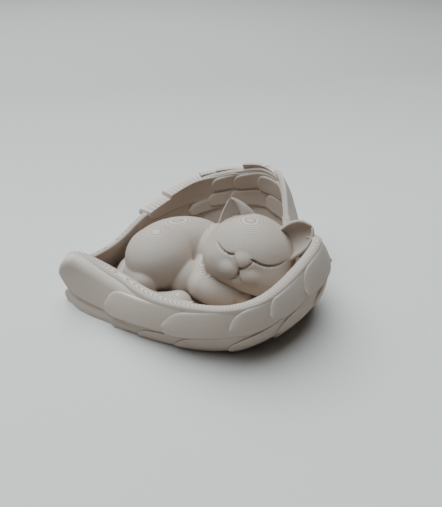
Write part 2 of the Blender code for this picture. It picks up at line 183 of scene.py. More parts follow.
# The nose's two sides, the line under it and the mouth's two halves, with width and depth
MOUTH_LINES = [
    ([(-3.5, 1.2, 0.2), (-2.8, -0.4, 1), (-1.6, -1.8, 1), (-0.5, -2.7, 1)], 0.34, 0.55),
    ([(2.6, 1.0, 0.4), (1.8, -0.5, 1), (0.8, -1.8, 1), (-0.4, -2.7, 1)], 0.34, 0.55),
    ([(-0.45, -2.6, 1), (-0.4, -3.6, 1), (-0.3, -4.6, 1)], 0.34, 0.8),
    ([(-0.35, -4.4, 1), (-0.9, -5.5, 1), (-2.2, -6.7, 0.6), (-3.6, -6.9, 0.1)], 0.36, 0.5),
    ([(-0.35, -4.4, 1), (0.5, -5.5, 1), (1.9, -6.6, 0.6), (3.6, -6.8, 0.1)], 0.36, 0.5),
]
# Ears: inner base, outer base, tip, facing; depth of the back and of the cup; taper
EARS = [
    ((-5.2, 10.2, 2.4), (-11.9, 3.6, 2.6), (-11.2, 14.3, 3.2), (-0.75, -0.1, 0.65), 1.9, 0.5, (1.5, 0.75)),
    ((5.4, 10.9, 2.0), (13.0, 4.9, 5.5), (13.8, 15.4, 7.0), (-0.47, -0.09, 0.88), 0.8, 0.55, (3.0, 0.62)),
]

# The body: trunk, haunch, rump, shoulders and the rest under the head, as centres and radii
BODY_FORMS = [
    ((-12.8, 7.5, 6.5), (17.0, 9.2, 11.5)),
    ((-20.4, 0.3, 9.0), (10.7, 10.7, 10.7)),
    ((-19.0, 6.0, 6.8), (9.6, 8.6, 8.6)),
    ((1.5, 2.0, 7.8), (10.5, 9.5, 9.0)),
    ((3.0, -7.5, 4.5), (8.0, 8.0, 7.0)),
]
BELLY = ((-12.8, -6.0, 4.6), (6.4, 5.8, 6.4))
# Limbs: rows of x, y, z and radius
UPPER_ARM = [(-5.9, -3.0, 7.2, 3.7), (-7.4, -7.2, 6.6, 4.4), (-8.3, -11.2, 5.4, 4.9)]
FOREARM = [(-8.3, -11.2, 5.4, 4.9), (-5.3, -13.0, 4.8, 5.1), (-1.9, -14.2, 4.2, 4.9), (1.3, -15.4, 3.6, 4.3),
           (3.0, -16.4, 3.2, 3.3)]
TUCKED_LEG = [(8.8, -20.2, 2.6, 3.6), (14.0, -17.0, 3.2, 4.6), (17.0, -11.0, 4.4, 5.0)]
HIND_PAW = [(-28.0, -2.4, 6.6, 4.3), (-25.2, -6.6, 6.6, 4.8)]
TAIL = [(-23.0, 10.0, 3.6, 3.8), (-30.4, 4.0, 3.4, 3.6), (-30.8, -4.4, 3.0, 3.4), (-26.0, -11.5, 2.6, 3.3),
        (-21.0, -14.8, 3.2, 3.8), (-16.6, -16.2, 3.6, 4.3)]
LOWEST = 0.6                # no form of the kitten reaches below this height
BODY_GRAIN = 0.00032        # size in metres of the grain that joins the body's forms
BODY_ROUNDS = 6             # rounds of smoothing after that
SHARP_ANGLE = math.radians(50)
LAYER_PHASE = 0.45          # shift of the printed layers, in layers

# The stage, in metres, and the camera, in millimetres in the nest's own place
STAGE_REACH = 3.0
# Where the floor's painted shade behind the nest begins and where it is full
BACK_START, BACK_END = 0.03, 0.22
LAMP_PLACE = (-0.14, 0.26, 0.80)
LAMP_SIZE = 1.0
LAMP_COLOUR = (0.82, 0.93, 1.0)
ROOM_COLOUR = (0.93, 0.97, 1.0, 1)
CAMERA_PLACE = (-23.3, -109.6, 98.5)
CAMERA_AIM = (2.9, 13.7, 0.0)
CAMERA_LENS = 30.53


class KittenSizes(bpy.types.PropertyGroup):
    feather_proud: FloatProperty(
        name="Feather stand-off", description="How far a feather's tip stands off the wing's outer face",
        default=0.0022, min=0.0005, max=0.004, unit="LENGTH")
    feather_tilt: FloatProperty(
        name="Feather tilt",
        description="Share by which a near feather's lower edge stands off more and its upper less",
        default=0.3, min=0.0, max=0.6, subtype="FACTOR")
    scallop_proud: FloatProperty(
        name="Inner feather stand-off",
        description="How far a feather's tip stands off the wing's inner face",
        default=0.0014, min=0.0003, max=0.003, unit="LENGTH")
    wing_wall: FloatProperty(
        name="Wing wall", description="Thickness of a wing without its feathers",
        default=0.0028, min=0.001, max=0.005, unit="LENGTH")
    feather_edge: FloatProperty(
        name="Feather edge", description="Radius of a feather's rounded edge",
        default=0.00035, min=0.0001, max=0.001, unit="LENGTH")
    eye_depth: FloatProperty(
        name="Eye line depth", description="Depth of the closed eyes' grooves",
        default=0.0010, min=0.0001, max=0.002, unit="LENGTH")
    ear_wall: FloatProperty(
        name="Ear wall", description="Thickness of an ear's shell",
        default=0.0012, min=0.0006, max=0.003, unit="LENGTH")


class PlasticFinish(bpy.types.PropertyGroup):
    colour: FloatVectorProperty(
        name="Plastic", description="Colour of the matt plastic", subtype="COLOR",
        size=4, min=0, max=1, default=(0.53, 0.434, 0.362, 1))
    # Painted highlight: a lighter colour mixed into the feathers' upper edges and tips, where they catch the
    # light
    painted_highlight_colour: FloatVectorProperty(
        name="Edges", description="Lighter colour on the feathers' thin edges", subtype="COLOR",
        size=4, min=0, max=1, default=(0.63, 0.535, 0.46, 1))
    streak_colour: FloatVectorProperty(
        name="Streaks", description="Darker colour of the plastic's faint streaks", subtype="COLOR",
        size=4, min=0, max=1, default=(0.50, 0.41, 0.34, 1))
    # Painted shade: a dark colour mixed in under each layer's edge on faces that look up and under each
    # feather's lower edge, for their shadow lines; the next setting scales the layers' part
    painted_shade_colour: FloatVectorProperty(
        name="Steps", description="Dark colour under each layer's edge and each feather's lower edge",
        subtype="COLOR", size=4, min=0, max=1, default=(0.20, 0.165, 0.135, 1))
    painted_shade_share: FloatProperty(
        name="Step shade", description="How strongly the layers' edges show on faces that look up",
        default=1.0, min=0.0, max=1.0, subtype="FACTOR")
    layer_height: FloatProperty(
        name="Layer height", description="Height of one printed layer",
        default=0.0002, min=0.00005, max=0.0006, unit="LENGTH")
    layer_bead: FloatProperty(
        name="Bead", description="Depth of the groove between two layers, as a share of a layer's height",
        default=0.2, min=0.0, max=1.0, subtype="FACTOR")
    layer_step: FloatProperty(
        name="Step",
        description="How far a layer's edge stands out on level faces, as a share of a layer's height",
        default=0.6, min=0.0, max=1.5, subtype="FACTOR")


class StudioStage(bpy.types.PropertyGroup):
    floor_colour: FloatVectorProperty(
        name="Floor", description="Colour of the pale floor", subtype="COLOR",
        size=4, min=0, max=1, default=(0.58, 0.545, 0.51, 1))
    # Painted shade: the floor coloured darker far behind the nest, where the lamp's light falls off
    painted_shade_behind: FloatVectorProperty(
        name="Floor behind", description="Darker colour of the floor far behind the nest", subtype="COLOR",
        size=4, min=0, max=1, default=(0.43, 0.40, 0.37, 1))
    lamp_power: FloatProperty(
        name="Overhead lamp", description="Power of the large soft lamp above and behind",
        default=22.5, min=0, unit="POWER")
    world_strength: FloatProperty(
        name="Room light", description="Strength of the even light from all sides",
        default=0.04, min=0)


def spline(table, at):
    """Smooth curve through evenly spaced rows: cubic pieces that meet with the rows' mean slopes."""
    slope = np.gradient(table, axis=0)
    at = np.asarray(at, float)
    row = np.clip(np.floor(at).astype(int), 0, len(table) - 2)
    u = (at - row)[..., None]
    return ((2 * u**3 - 3 * u**2 + 1) * table[row] + (u**3 - 2 * u**2 + u) * slope[row]
            + (3 * u**2 - 2 * u**3) * table[row + 1] + (u**3 - u**2) * slope[row + 1])


def wing_rows(side):
    """One wing's stations, run on past the root by two rows of the other wing."""
    table = WING_STATIONS.copy()
    if side > 0:
        table[:, 2] -= FAR_TIP_DROP * np.clip(1 - np.linspace(0, 1, len(table)) / FAR_TIP_REACH, 0, 1)
        beyond = NEAR_ROOT_STATIONS[1::-1].copy()
    else:
        beyond = WING_STATIONS[-2:-4:-1].copy()
        table[-3:] = NEAR_ROOT_STATIONS
        table[:, 6] = NEAR_WALLS
    beyond[:, [1, 4]] *= -1
    beyond[:, 6] = table[-1, 6]
    return np.vstack([table, beyond])


def wing_points(side, along, up, off):
    """Points of a wing's outer face moved off along its level normal by off, in millimetres.

    A point lies between foot and rim by its height share up, plus a bulge of 4 up (1 - up).
    """
    table = wing_rows(side)
    along, up, off = np.broadcast_arrays(along, up, off)
    rows = len(WING_STATIONS) - 1
    here = spline(table, along * rows)
    step = spline(table, along * rows + 0.01)[..., :2] - spline(table, along * rows - 0.01)[..., :2]
    out = np.stack([-step[..., 1], step[..., 0]], axis=-1)
    out /= np.linalg.norm(out, axis=-1, keepdims=True)
    rim, foot, bulge = here[..., :2], here[..., 3:5], here[..., 5]
    flat = foot + (rim - foot) * up[..., None] + out * (4 * bulge * up * (1 - up) + off)[..., None]
    return np.stack([flat[..., 0], side * flat[..., 1], here[..., 2] * up], axis=-1)


def wing_wall_at(side, along, wall):
    """The wing's own thickness at places along it, in millimetres."""
    return spline(wing_rows(side), np.asarray(along) * (len(WING_STATIONS) - 1))[..., 6] * wall


def rim_height_at(side, along):
    """The rim's height at places along the wing, in millimetres."""
    return spline(wing_rows(side), np.asarray(along) * (len(WING_STATIONS) - 1))[..., 2]


def loft(rings, mask=None):
    """A closed skin over rings of equally many points, with a middle point closing each end.

    Gives points, four-sided faces, three-sided faces and one mask value per point, wound so that
    the enclosed volume is positive.
    """
    rows, count, _ = rings.shape
    mask = np.zeros((rows, count)) if mask is None else np.broadcast_to(mask, (rows, count))
    points = np.vstack([rings.reshape(-1, 3), rings[0].mean(0), rings[-1].mean(0)])
    values = np.concatenate([mask.ravel(), [mask[0].mean(), mask[-1].mean()]])
    here = np.arange(rows * count).reshape(rows, count)
    beside = np.roll(here, -1, axis=1)
    quads = np.stack([here[:-1], beside[:-1], beside[1:], here[1:]], axis=-1).reshape(-1, 4)
    first = np.stack([beside[0], here[0], np.full(count, rows * count)], axis=-1)
    last = np.stack([here[-1], beside[-1], np.full(count, rows * count + 1)], axis=-1)
    triangles = np.vstack([first, last])
    a, b, c, d = (points[quads[:, i]] for i in range(4))
    volume = (np.cross(a, b) * c).sum() + (np.cross(a, c) * d).sum()
    a, b, c = (points[triangles[:, i]] for i in range(3))
    if volume + (np.cross(a, b) * c).sum() < 0:
        quads, triangles = quads[:, ::-1], triangles[:, ::-1]
    return points, quads, triangles, values


def make_piece(name, skins):
    """One mesh object from closed skins given in millimetres in the nest's own place.

    The skins' mask values go into the point attribute edge: 1 where a highlight is painted on an edge, -1
    where shade is painted under one.
    """
    points, quads, triangles, values, count = [], [], [], [], 0
    for skin in skins:
        points.append((skin[0] + SHIFT) / 1000)
        quads.append(skin[1] + count)
        triangles.append(skin[2] + count)
        values.append(skin[3])
        count += len(skin[0])
    points, quads, triangles = np.vstack(points), np.vstack(quads), np.vstack(triangles)
    mesh = bpy.data.meshes.new(name)
    mesh.vertices.add(len(points))
    mesh.vertices.foreach_set("co", points.astype(np.float32).ravel())
    corners = np.concatenate([quads.ravel(), triangles.ravel()])
    mesh.loops.add(len(corners))
    mesh.loops.foreach_set("vertex_index", corners.astype(np.int32))
    starts = np.concatenate([np.arange(len(quads)) * 4, len(quads) * 4 + np.arange(len(triangles)) * 3])
    mesh.polygons.add(len(starts))
    mesh.polygons.foreach_set("loop_start", starts.astype(np.int32))
    mesh.update(calc_edges=True)
    edge = mesh.attributes.new("edge", "FLOAT", "POINT")
    edge.data.foreach_set("value", np.concatenate(values).astype(np.float32))
    mesh.shade_smooth()
    piece = bpy.data.objects.new(name, mesh)
    bpy.context.scene.collection.objects.link(piece)
    return piece


def finish_piece(piece, sharp=False):
    """Give a piece its plastic and its place on the body, and hide the model's part it stands for."""
    if sharp:
        piece.data.set_sharp_from_angle(angle=SHARP_ANGLE)
    piece.data.materials.clear()
    piece.data.materials.append(printed_plastic())
    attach(piece, "root")
    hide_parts(NODE)


def wall_skin(side, wall, start, flare):
    """A wing's bare wall: outer face up, rounded crown, inner face down, with a rounded tip.

    Near the tip the height grows as a quarter circle. Past the tip blade, the outer face comes
    forward towards the rim by the flare, as a square of the height, so that the rim's top runs on
    into the feathers' faces. The crown is a half ellipse from face to face.
    """
    along = np.linspace(start, WALL_END, 240)[:, None]
    tip = np.clip((along - start + 0.003) / TIP_LENGTH, 0, 1)
    height = TIP_HEIGHT + (1 - TIP_HEIGHT) * np.sqrt(1 - (1 - tip) ** 2)
    thick = wing_wall_at(side, along[:, 0], wall)[:, None]
    share = np.linspace(0, 1, 30)[None, :]
    up = share * height
    grown = np.clip((along - FLARE_ALONG[0]) / FLARE_ALONG[1], 0, 1)
    forward = flare * grown * np.clip((share - FLARE_UP[0]) / FLARE_UP[1], 0, 1) ** 2
    outer = wing_points(side, along, up, forward)
    inner = wing_points(side, along, up, -thick)
    turn = np.linspace(0, np.pi, 20)[None, 1:-1, None]
    middle = (outer[:, -1:] + inner[:, -1:]) / 2
    half = outer[:, -1:] - middle
    rise = CROWN_LIFT * np.linalg.norm(half, axis=-1, keepdims=True)
    crown = middle + half * np.cos(turn) + np.array((0, 0, 1.0)) * (np.sin(turn) * rise)
    return loft(np.concatenate([outer, crown, inner[:, ::-1]], axis=1))


def feather_skin(side, shape, front, back, edge, wall, fade=0.85, tilt=0.0, inner=False, top_edge=None,
                 back_edge=0.2):
    """A leaf-shaped plate on a wing's face, closed, with a highlight painted on its upper edge and shade
    painted along its lower one.

    Along the plate, u runs from 0 at the tip to 1. The half height grows as a quarter circle from
    the tip. The front stands off by front times (1 - fade u), more at the lower edge and less at
    the upper by tilt. The back lies inside the wall, and the edges are rounded by quarter circles.
    """
    tip_along, tip_up, end_along, end_up, half, top = shape
    u = (np.linspace(0, 1, 64) ** 2.0)[:, None]
    along = tip_along + (end_along - tip_along) * u
    centre = tip_up + (end_up - tip_up) * u
    tall = np.abs(rim_height_at(side, along[:, 0]))[:, None]
    length = np.linalg.norm(wing_points(side, end_along, end_up, 0) - wing_points(side, tip_along, tip_up, 0))
    half_tall = half * tall[0]
    swell = np.sqrt(1 - (1 - np.clip(u * length / (1.25 * half_tall) + 0.0004, 0, 1)) ** 2)
    reach = half * swell
    limit = 1 + (top - 1) * np.clip(1 - u / 0.75, 0, 1) ** 1.1
    upper = np.minimum(centre + reach, limit)
    lower = np.maximum(centre - reach, -0.02)
    centre, reach = (upper + lower) / 2, np.maximum((upper - lower) / 2, 0.0005)
    rise = front * (1 - fade * u)
    ramp = np.sqrt(1 - (1 - np.clip(u * length / edge, 0, 1)) ** 2)
    rise = rise - np.minimum(edge, rise) * (1 - ramp)
    span = reach * tall
    quarter, flat = np.linspace(0, np.pi / 2, 6)[None, :], np.linspace(-1, 1, 15)[None, 1:-1]
    low_edge, high_edge, round_back = (
        np.minimum(size, span * 0.9) for size in (edge, top_edge or edge, back_edge))
    curve_in, curve_down = 1 - np.cos(quarter), 1 - np.sin(quarter)
    low, high = -span + low_edge, span - high_edge
    across = np.concatenate([
        -span + low_edge * curve_in,
        low + (high - low) * (flat + 1) / 2,
        (span - high_edge * curve_in)[:, ::-1],
        span - round_back * curve_in,
        (round_back - span) * flat,
        (round_back * curve_in - span)[:, ::-1],
    ], axis=1)
    crown = 0.10 * front * (1 - flat**2)
    high_rise = rise * (1 - tilt)
    off = np.concatenate([
        rise * (1 + tilt) - low_edge * curve_down,
        rise * (1 - tilt * flat) + crown,
        (high_rise - np.minimum(high_edge, high_rise + back) * curve_down)[:, ::-1],
        -back + round_back * curve_down,
        -back + 0 * flat * u,
        (-back + round_back * curve_down)[:, ::-1],
    ], axis=1)
    if inner:
        off = -wing_wall_at(side, along, wall) - off
    up = np.clip(centre + across / tall, 0.0, 1.3)
    ones = np.ones(quarter.shape)
    # Mask for painted light: 1 paints a highlight on the upper edge and all round near the tip, -1 paints
    # shade along the lower edge, fading along the plate
    edges = np.concatenate([-ones, 0 * flat, ones, 0 * ones, 0 * flat, -ones], axis=1)
    near_tip = np.clip(1.2 - u * length / (0.5 * half_tall), 0, 1)
    mask = (np.abs(edges) * near_tip + edges * (1 - near_tip)) * np.clip(1.3 - 1.2 * u, 0, 1)
    return loft(wing_points(side, along, up, off), mask)


def floor_skin(wall):
    """The nest's floor: its outline run in towards the middle at the top and the bottom."""
    along = np.linspace(FAR_TIP_START, 1, 90)
    near = wing_points(-1, along, 0.0, -wall * 0.5)
    far = wing_points(1, along, 0.0, -wall * 0.5)
    outline = np.vstack([near, far[-2:0:-1]])
    outline[:, 2] = 0
    steps = [(share, 0.0) for share in (0.02, 0.5, 1.0)]
    steps += [(share, FLOOR_TOP) for share in (1.0, 0.75, 0.5, 0.25, 0.02)]
    rings = np.stack([
        NEST_MIDDLE + (outline - NEST_MIDDLE) * share + np.array((0, 0, z)) for share, z in steps])
    return loft(rings)


def directions(polar, turn):
    """Unit directions at angles polar from +Z and turn round it."""
    level = np.sin(polar)
    return np.stack([level * np.cos(turn), level * np.sin(turn), np.cos(polar) + 0 * turn], axis=-1)


def ellipsoid_skin(centre, radii, rows=48, count=72):
    """An ellipsoid as rings round its own Z, heights above the floor."""
    polar = np.linspace(0.03, np.pi - 0.03, rows)[:, None]
    turn = np.linspace(0, 2 * np.pi, count, endpoint=False)[None, :]
    points = directions(polar, turn) * np.array(radii) + np.array(centre) + np.array((0, 0, FLOOR_TOP))
    points[..., 2] = np.maximum(points[..., 2], LOWEST)
    return loft(points)


def limb_skin(stations, rows=60, count=40):
    """A round limb: circles square to a smooth path, with half-ball ends."""
    table = np.array(stations, float)
    path = spline(table, np.linspace(0, len(table) - 1, rows))
    tangent = np.gradient(path[:, :3], axis=0)
    tangent /= np.linalg.norm(tangent, axis=1, keepdims=True)
    arc = np.linspace(0.08, np.pi / 2, 10)[:-1]
    inward, radius = np.cos(arc)[:, None], np.sin(arc)
    start = np.column_stack([path[0, :3] - tangent[0] * (path[0, 3] * inward), path[0, 3] * radius])
    end = np.column_stack([path[-1, :3] + tangent[-1] * (path[-1, 3] * inward), path[-1, 3] * radius])
    path = np.vstack([start, path, end[::-1]])
    tangent = np.vstack([np.tile(tangent[0], (9, 1)), tangent, np.tile(tangent[-1], (9, 1))])
    level = np.cross(tangent, (0, 0, 1.0))
    level /= np.linalg.norm(level, axis=1, keepdims=True)
    upright = np.cross(level, tangent)
    turn = np.linspace(0, 2 * np.pi, count, endpoint=False)
    rings = path[:, None, :3] + path[:, None, 3:4] * (
        level[:, None] * np.cos(turn)[None, :, None] + upright[:, None] * np.sin(turn)[None, :, None])
    rings[..., 2] = np.maximum(rings[..., 2] + FLOOR_TOP, LOWEST)
    return loft(rings)


def head_frame():
    """The head's axes as rows: to the viewer's right, up and forward."""
    forward = np.array(HEAD_FACING) / np.linalg.norm(HEAD_FACING)
    up = np.array(HEAD_UP) - forward * np.dot(HEAD_UP, forward)
    up /= np.linalg.norm(up)
    return np.array([np.cross(up, forward), up, forward])


def from_head(points):
    """Points given to the right, up and forward of the head's centre, as places in the nest."""
    return points @ head_frame() + HEAD_CENTRE + np.array((0, 0, FLOOR_TOP))


def far_hit(direction, centre, radii):
    """Distance from the head's centre to the far side of an ellipsoid in each direction."""
    centre, radii = np.array(centre), np.array(radii)
    a = ((direction / radii) ** 2).sum(-1)
    b = (direction * centre / radii**2).sum(-1)
    inside = b**2 - a * ((centre / radii) ** 2).sum() + a
    return np.where(inside > 0, (b + np.sqrt(np.maximum(inside, 0))) / a, 0.0)


def soft_largest(values, sharpness):
    """Soft maximum: logarithm of the sum of exponentials."""
    stack = np.stack(values)
    top = stack.max(0)
    return top + np.log(np.exp(sharpness * (stack - top)).sum(0)) / sharpness


def groove(right, up, line, width, depth):
    """Depth of a groove drawn on the face: a bell curve of the distance to a smooth line.

    The line's rows are right, up and a share of the depth.
    """
    table = np.array(line, float)
    path = spline(table, np.linspace(0, len(table) - 1, 60))
    gap = np.hypot(right[..., None] - path[:, 0], up[..., None] - path[:, 1])
    nearest = gap.argmin(-1)
    return depth * np.clip(path[nearest, 2], 0, 1) * np.exp(-(gap.min(-1) / width) ** 2)


def head_skin(eye_depth):
    """Head, cheeks, muzzle, nose and chin: the soft farthest side of several ellipsoids.

    The rings run round the facing axis and lie closer together towards the face.
    """
    polar = (np.linspace(0.004, 1, 230) ** 1.25 * (np.pi - 0.02))[:, None]
    turn = np.linspace(0, 2 * np.pi, 340, endpoint=False)[None, :]
    direction = directions(polar, turn)
    skull = soft_largest([far_hit(direction, *form) for form in SKULL_FORMS], SKULL_SHARPNESS)
    muzzle = [far_hit(direction, *form) for form in MUZZLE_FORMS]
    face = soft_largest([skull, *muzzle], FACE_SHARPNESS)
    points = direction * face[..., None]
    right, up = points[..., 0], points[..., 1]
    cut = sum(groove(right, up, line, EYE_LINE_WIDTH, eye_depth) for line in EYE_LINES)
    cut = cut + sum(groove(right, up, *line) for line in MOUTH_LINES)
    face = face - cut * (direction[..., 2] > 0.2)
    return loft(from_head(direction * face[..., None]))


def ear_skin(inner_base, outer_base, tip, facing, bulge, cup, taper, shell):
    """A cupped ear: crescents that narrow towards a rounded tip, open towards facing.

    A crescent's back is a half ellipse bulge deep, its front one cup deep. The width falls as one
    less height to the first power of taper, all to the second.
    """
    inner_base, outer_base, tip, front = (np.array(p, float) for p in (inner_base, outer_base, tip, facing))
    front /= np.linalg.norm(front)
    middle, half = (inner_base + outer_base) / 2, (outer_base - inner_base) / 2
    h = np.concatenate([[-0.45, -0.3, -0.15], np.sin(np.linspace(0, np.pi / 2, 60))])[:, None]
    narrowing = np.maximum(1 - np.maximum(h, 0) ** taper[0], 0.0) ** taper[1]
    width = narrowing * 0.985 + 0.015 - 0.12 * np.minimum(h, 0)
    centre = middle + (tip - middle) * h
    reach = np.linalg.norm(half) * width
    wall = np.minimum(shell * (0.8 + 0.2 * (1 - h)), reach * 0.75)
    turn = np.linspace(0, np.pi, 41)[None, :]
    back = (centre[:, None] + half * (width * np.cos(turn))[..., None]
            - front * (bulge * reach * np.sin(turn))[..., None])
    deep = np.minimum(cup * reach, np.maximum(bulge * reach - wall, 0))
    inside = 1 - wall / np.maximum(reach, 1e-6) * 0.9
    soft = np.sin(turn[:, ::-1]) ** 1.3
    lip = 0.35 * wall * np.abs(np.cos(turn)) ** 6
    face = (centre[:, None] + half * (width * inside * np.cos(turn[:, ::-1]))[..., None]
            + front * (lip - deep * soft)[..., None])
    return loft(from_head(np.concatenate([back, face], axis=1)))


def fused(piece, voxel, rounds):
    """The piece's skins joined into one by an even remesh, then lightly smoothed."""
    skin = piece.modifiers.new("one_skin", "REMESH")
    skin.mode = "VOXEL"
    skin.voxel_size = voxel
    soft = piece.modifiers.new("soften", "SMOOTH")
    soft.factor = 0.5
    soft.iterations = rounds
    graph = bpy.context.evaluated_depsgraph_get()
    joined = bpy.data.meshes.new_from_object(piece.evaluated_get(graph))
    piece.modifiers.clear()
    rough = piece.data
    piece.data = joined
    bpy.data.meshes.remove(rough)
    piece.data.name = piece.name
    piece.data.shade_smooth()
    return piece


def socket(group, name, way, kind, default=None):
    """Add a named socket to a node group."""
    made = group.interface.new_socket(name=name, in_out=way, socket_type=kind)
    if default is not None:
        made.default_value = default
    return made


def maths(tree, operation, *inputs):
    """A Math node with its inputs linked or set, giving its output."""
    node = tree.nodes.new("ShaderNodeMath")
    node.operation = operation
    for i, value in enumerate(inputs):
        if isinstance(value, (int, float)):
            node.inputs[i].default_value = value
        else:
            tree.links.new(value, node.inputs[i])
    return node.outputs[0]


def layer_group():
    """Relief of the printed layers, in layer heights.

    On upright faces each layer is a rounded bead: one less the cube of the distance from its
    middle. On faces that look up, the surface falls back evenly through each layer and jumps out
    at the next, which draws the layers' edges as rings. Layers begin a little below whole heights,
    so that no edge lies on the level floor. The second output is a painted shade mask that darkens
    each layer's foot on faces that look up, standing for the shadow line under each layer's edge.
    """
    if "printed_layers" in bpy.data.node_groups:
        return bpy.data.node_groups["printed_layers"]
    tree = bpy.data.node_groups.new("printed_layers", "ShaderNodeTree")
    socket(tree, "Layer Height", "INPUT", "NodeSocketFloat", 0.0002)
    socket(tree, "Waver", "INPUT", "NodeSocketFloat", 0.00003)
    socket(tree, "Bead", "INPUT", "NodeSocketFloat", 0.2)
    socket(tree, "Step", "INPUT", "NodeSocketFloat", 0.8)
    socket(tree, "Relief", "OUTPUT", "NodeSocketFloat")
    socket(tree, "Painted Shade Mask", "OUTPUT", "NodeSocketFloat")
    given, result = tree.nodes.new("NodeGroupInput"), tree.nodes.new("NodeGroupOutput")
    given_bead, given_step = given.outputs["Bead"], given.outputs["Step"]
    place = tree.nodes.new("ShaderNodeTexCoord").outputs["Object"]
    parts = tree.nodes.new("ShaderNodeSeparateXYZ")
    tree.links.new(place, parts.inputs[0])
    noise = tree.nodes.new("ShaderNodeTexNoise")
    noise.inputs["Scale"].default_value = 300
    noise.inputs["Detail"].default_value = 2
    tree.links.new(place, noise.inputs["Vector"])
    drift = maths(tree, "SUBTRACT", noise.outputs["Fac"], 0.5)
    waver = maths(tree, "MULTIPLY", drift, given.outputs["Waver"])
    height = maths(tree, "ADD", parts.outputs["Z"], waver)
    layer = maths(tree, "DIVIDE", height, given.outputs["Layer Height"])
    share = maths(tree, "FRACT", maths(tree, "ADD", layer, LAYER_PHASE))
    off_middle = maths(tree, "ABSOLUTE", maths(tree, "SUBTRACT", share, 0.5))
    bead = maths(tree, "SUBTRACT", 1.0, maths(tree, "POWER", maths(tree, "MULTIPLY", off_middle, 2.0), 3.0))
    fall = maths(tree, "MINIMUM", share, maths(tree, "MULTIPLY", maths(tree, "SUBTRACT", 1.0, share), 3.5))
    normal_parts = tree.nodes.new("ShaderNodeSeparateXYZ")
    tree.links.new(tree.nodes.new("ShaderNodeNewGeometry").outputs["Normal"], normal_parts.inputs[0])
    level = maths(tree, "MAXIMUM", normal_parts.outputs["Z"], 0.0)
    upright = maths(tree, "SUBTRACT", 1.0, level)
    beads = maths(tree, "MULTIPLY", maths(tree, "MULTIPLY", bead, upright), given_bead)
    steps = maths(tree, "MULTIPLY", maths(tree, "MULTIPLY", fall, level), given_step)
    tree.links.new(maths(tree, "SUBTRACT", beads, steps), result.inputs["Relief"])
    # Painted shade mask: dark at each layer's foot, only on faces that look up
    foot = maths(tree, "POWER", maths(tree, "SUBTRACT", 1.0, share), 2.0)
    foot = maths(tree, "MULTIPLY", foot, maths(tree, "POWER", level, 0.7))
    tree.links.new(foot, result.inputs["Painted Shade Mask"])
    return tree


def tint_group():
    """Plastic colour with faint streaks along the layers and slow patches, painted highlights on feather
    edges and painted shade under layer edges and feathers' lower edges.
    """
    if "plastic_tint" in bpy.data.node_groups:
        return bpy.data.node_groups["plastic_tint"]
    tree = bpy.data.node_groups.new("plastic_tint", "ShaderNodeTree")
    socket(tree, "Plastic", "INPUT", "NodeSocketColor", (0.56, 0.51, 0.47, 1))
    socket(tree, "Painted Highlight", "INPUT", "NodeSocketColor", (0.68, 0.63, 0.585, 1))
    socket(tree, "Streak", "INPUT", "NodeSocketColor", (0.47, 0.42, 0.38, 1))
    socket(tree, "Step", "INPUT", "NodeSocketColor", (0.30, 0.26, 0.22, 1))
    socket(tree, "Painted Shade Amount", "INPUT", "NodeSocketFloat", 0.0)
    socket(tree, "Colour", "OUTPUT", "NodeSocketColor")
    socket(tree, "Streaks", "OUTPUT", "NodeSocketFloat")
    given, result = tree.nodes.new("NodeGroupInput"), tree.nodes.new("NodeGroupOutput")
    place = tree.nodes.new("ShaderNodeTexCoord").outputs["Object"]
    stretch = tree.nodes.new("ShaderNodeMapping")
    stretch.inputs["Scale"].default_value = (90, 90, 1800)
    tree.links.new(place, stretch.inputs["Vector"])
    streak = tree.nodes.new("ShaderNodeTexNoise")
    streak.inputs["Scale"].default_value = 1.0
    streak.inputs["Detail"].default_value = 3
    tree.links.new(stretch.outputs[0], streak.inputs["Vector"])
    patch = tree.nodes.new("ShaderNodeTexNoise")
    patch.inputs["Scale"].default_value = 70
    patch.inputs["Detail"].default_value = 3
    tree.links.new(place, patch.inputs["Vector"])
    mask = maths(tree, "ADD", maths(tree, "MULTIPLY", streak.outputs["Fac"], 0.6),
                 maths(tree, "MULTIPLY", patch.outputs["Fac"], 0.4))
    mask = maths(tree, "MULTIPLY", maths(tree, "SUBTRACT", mask, 0.42), 1.6)
    clamp = tree.nodes.new("ShaderNodeClamp")
    tree.links.new(mask, clamp.inputs["Value"])
    edge = tree.nodes.new("ShaderNodeAttribute")
    edge.attribute_name = "edge"
    first, second, third = (tree.nodes.new("ShaderNodeMix") for _ in range(3))
    for mix in (first, second, third):
        mix.data_type = "RGBA"
    tree.links.new(clamp.outputs[0], first.inputs["Factor"])
    tree.links.new(given.outputs["Plastic"], first.inputs["A"])
    tree.links.new(given.outputs["Streak"], first.inputs["B"])
    # Painted highlight: mix towards the highlight colour where the edge attribute is positive
    light = maths(tree, "MAXIMUM", maths(tree, "MULTIPLY", edge.outputs["Fac"], 0.75), 0.0)
    plain = maths(tree, "SUBTRACT", 1.0, light)
    # Painted shade: mix towards the dark colour where the edge attribute is negative, and under layer edges
    # elsewhere
    dark = maths(tree, "MAXIMUM", maths(tree, "MULTIPLY", edge.outputs["Fac"], -0.7),
                 maths(tree, "MULTIPLY", given.outputs["Painted Shade Amount"], plain))
    tree.links.new(light, second.inputs["Factor"])
    tree.links.new(first.outputs["Result"], second.inputs["A"])
    tree.links.new(given.outputs["Painted Highlight"], second.inputs["B"])
    tree.links.new(dark, third.inputs["Factor"])
    tree.links.new(second.outputs["Result"], third.inputs["A"])
    tree.links.new(given.outputs["Step"], third.inputs["B"])
    tree.links.new(third.outputs["Result"], result.inputs["Colour"])
    tree.links.new(clamp.outputs[0], result.inputs["Streaks"])
    return tree


